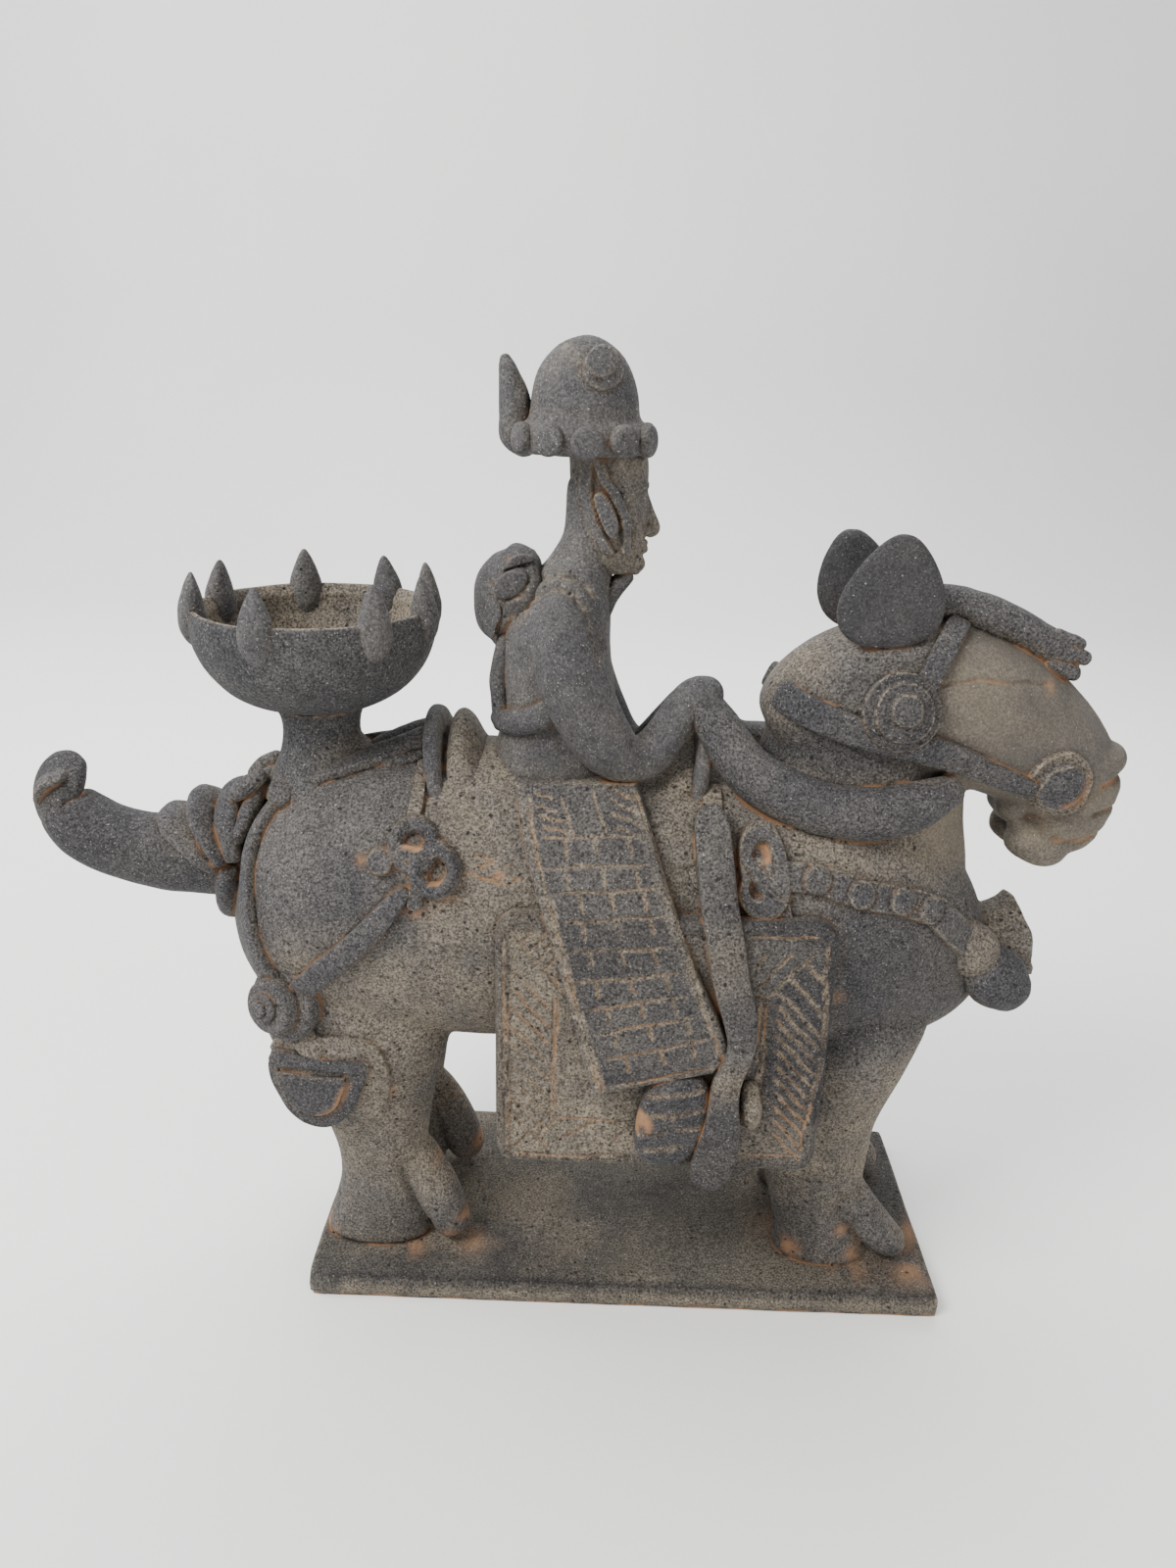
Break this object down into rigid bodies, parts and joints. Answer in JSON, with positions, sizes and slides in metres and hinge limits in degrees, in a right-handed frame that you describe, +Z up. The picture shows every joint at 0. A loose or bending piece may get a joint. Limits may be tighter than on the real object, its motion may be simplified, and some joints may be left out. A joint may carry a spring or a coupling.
{
  "type": "horse and rider vessel",
  "caption": "Hollow grey stoneware vessel shaped as a saddled horse with its rider, with a toothed cup on the rump, a spout at the chest and a flat slab under the hooves.",
  "frame": {"origin": "on the slab's underside, below the middle of the figure's long axis plane and midway along the slab", "axes": "+X the way the horse looks, +Y the horse's far side (its left), +Z up"},
  "size_m": [0.2959, 0.1043, 0.2588],
  "materials": {
    "grey_stoneware": "unglazed, matt, speckled with white and black grit, tan in the hollows and blue-black on the raised clay"
  },
  "bodies": {
    "root": {"horse_and_rider_vessel": "grey_stoneware"}
  },
  "joints": []
}
